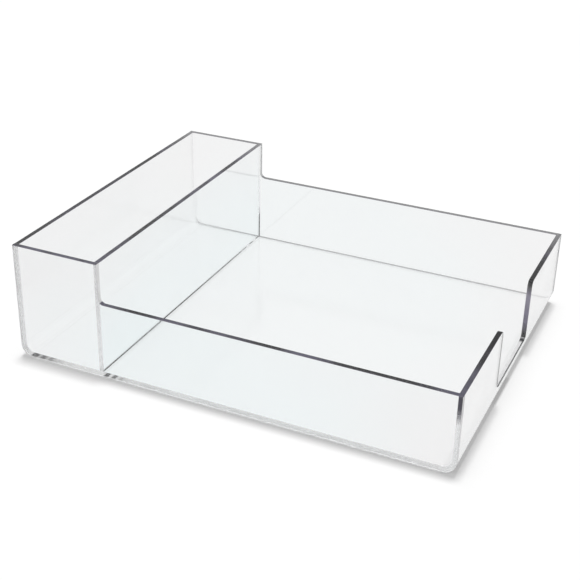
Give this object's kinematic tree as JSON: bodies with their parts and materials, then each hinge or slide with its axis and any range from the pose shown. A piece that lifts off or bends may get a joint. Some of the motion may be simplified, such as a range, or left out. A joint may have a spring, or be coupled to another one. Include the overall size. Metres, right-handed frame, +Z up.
{
  "type": "desk tray with side compartment",
  "caption": "Clear acrylic desk tray with low walls, a hand notch in the right wall and a tall open compartment along the left side.",
  "frame": {"origin": "centre of the underside", "axes": "+X to the right along the front, away from the tall compartment; +Y from front to back; +Z up"},
  "size_m": [0.38, 0.3, 0.103],
  "materials": {
    "clear_acrylic": "clear polished acrylic, flame-polished cut edges"
  },
  "bodies": {
    "root": {"bent_tray_sheet": "clear_acrylic", "front_panel": "clear_acrylic", "back_panel": "clear_acrylic", "compartment_divider": "clear_acrylic"}
  },
  "joints": []
}
